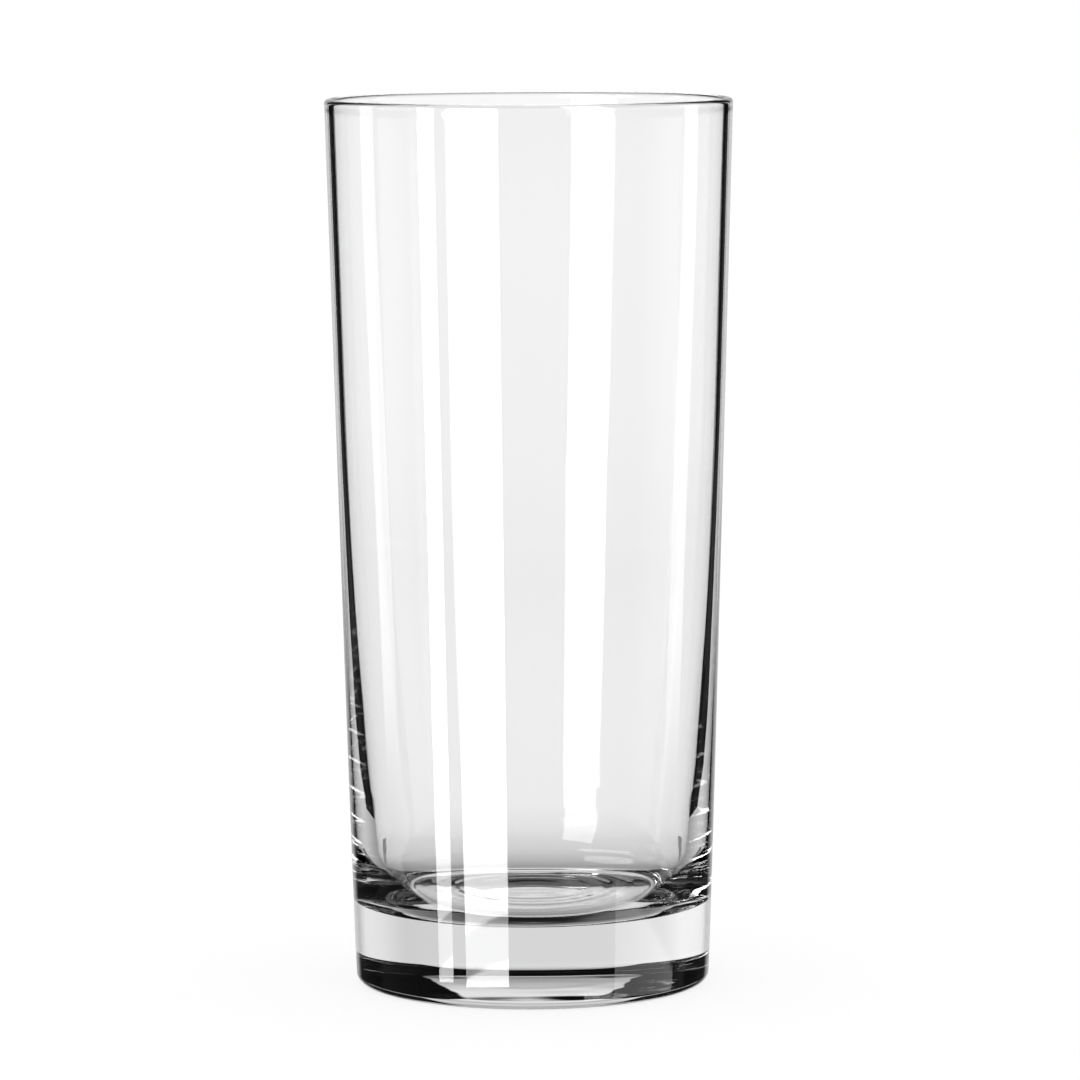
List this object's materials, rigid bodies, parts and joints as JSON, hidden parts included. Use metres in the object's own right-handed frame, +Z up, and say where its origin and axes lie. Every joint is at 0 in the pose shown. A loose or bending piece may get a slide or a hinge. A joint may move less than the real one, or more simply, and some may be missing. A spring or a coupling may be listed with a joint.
{
  "type": "highball glass",
  "caption": "Tall, slightly tapered drinking glass in clear colourless glass, with a thin fire-polished rim and a wall that thickens into a heavy solid base.",
  "frame": {"origin": "centre of the circle that the glass stands on, in the table plane", "axes": "+Z up along the axis of the glass, -Y towards the camera of the picture"},
  "size_m": [0.0698, 0.0698, 0.1524],
  "materials": {
    "clear_glass": "clear, fire-polished"
  },
  "bodies": {
    "root": {"tumbler": "clear_glass"}
  },
  "joints": []
}
